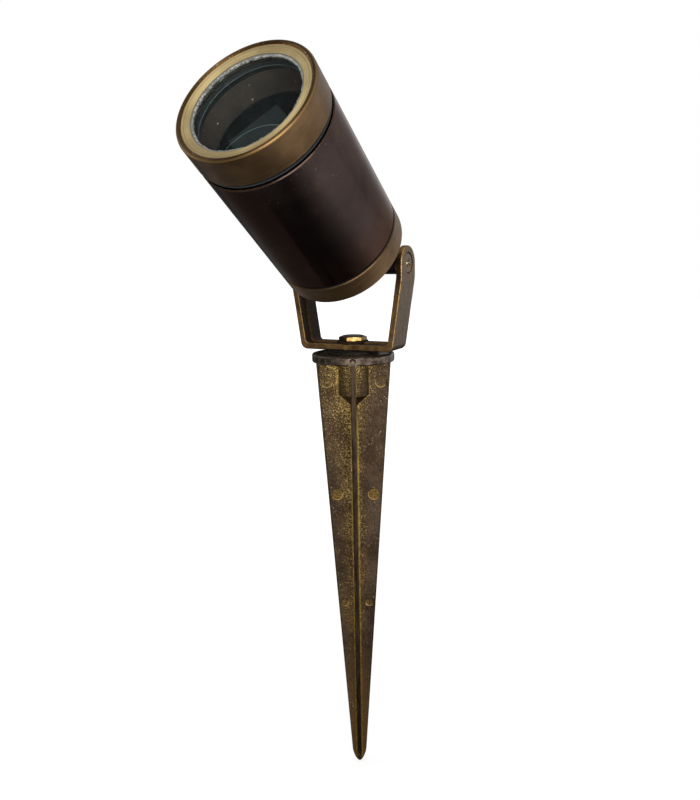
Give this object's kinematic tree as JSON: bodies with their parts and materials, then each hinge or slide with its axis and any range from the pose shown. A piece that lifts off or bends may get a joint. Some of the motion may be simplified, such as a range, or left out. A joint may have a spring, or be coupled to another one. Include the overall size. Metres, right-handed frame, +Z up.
{
  "type": "garden spike spotlight",
  "caption": "Tilting round garden spotlight in antiqued brass, on a U-shaped yoke that swivels on a finned ground spike.",
  "frame": {"origin": "on the spike's axis, at the underside of its flange, which is level with the ground", "axes": "+Z up along the spike; X along the head's pivot; at rest the head is tilted from +Z towards -Y"},
  "size_m": [0.0632, 0.1307, 0.3719],
  "materials": {
    "antique_bronze": "antiqued brass, fine turned brushing, worn bright on the edges",
    "dark_patina": "very dark brown patina on brass, smooth and half glossy",
    "cast_bronze": "cast brass, brown patina, edges worn bright",
    "spike_casting": "grainy cast brass, dark brown on the high areas and yellow in the hollows",
    "plain_brass": "turned brass, dull",
    "dark_screw": "browned brass, bright in the recess",
    "zinc_steel": "zinc-plated steel",
    "black_rubber": "matt black rubber",
    "black_nylon": "black nylon",
    "grey_sealant": "grey silicone bead, uneven edge",
    "clear_glass": "clear toughened glass, faint green edge",
    "lamp_shell": "dark grey heat-sink plastic",
    "lamp_window": "unlit lamp face, dark grey-green, with a bare pale patch",
    "white_ceramic": "unglazed white ceramic",
    "white_nylon": "natural nylon",
    "lead_sleeve": "silicone rubber sleeve"
  },
  "bodies": {
    "spike": {"spike": "spike_casting", "swivel_bolt": "plain_brass", "swivel_washer": "black_rubber"},
    "yoke": {"yoke": "cast_bronze"},
    "head": {"main_tube": "dark_patina", "front_oring": "black_rubber", "rear_seal": "black_rubber", "rear_cap": "antique_bronze", "pivot_screws": "dark_screw", "pivot_spacers": "black_nylon", "lamp_body": "lamp_shell", "lamp_front": "lamp_window", "lamp_pins": "plain_brass", "lampholder": "white_ceramic", "holder_bracket": "zinc_steel", "holder_screws": "zinc_steel", "bracket_screws": "zinc_steel", "terminal_block": "white_nylon", "block_screws": "plain_brass", "holder_leads": "lead_sleeve", "earth_screw": "plain_brass", "gland_washer": "black_nylon", "gland_body": "plain_brass", "gland_nut": "plain_brass", "gland_seal": "black_rubber"},
    "bezel": {"bezel_ring": "antique_bronze", "lens_sealant": "grey_sealant", "lens_glass": "clear_glass", "lens_gasket": "black_rubber"}
  },
  "joints": [
    {"name": "yoke_swivel", "type": "hinge", "parent": "spike", "child": "yoke", "pos_m": [0, 0, 0.0063], "axis": [0, 0, 1], "continuous": true},
    {"name": "head_tilt", "type": "hinge", "parent": "yoke", "child": "head", "pos_m": [0, 0, 0.04995], "axis": [1, 0, 0], "range_deg": [-144, 36]},
    {"name": "bezel_unscrew", "type": "slide", "parent": "head", "child": "bezel", "axis": [0, -0.81, 0.5864], "range_m": [0, 0.02]}
  ]
}
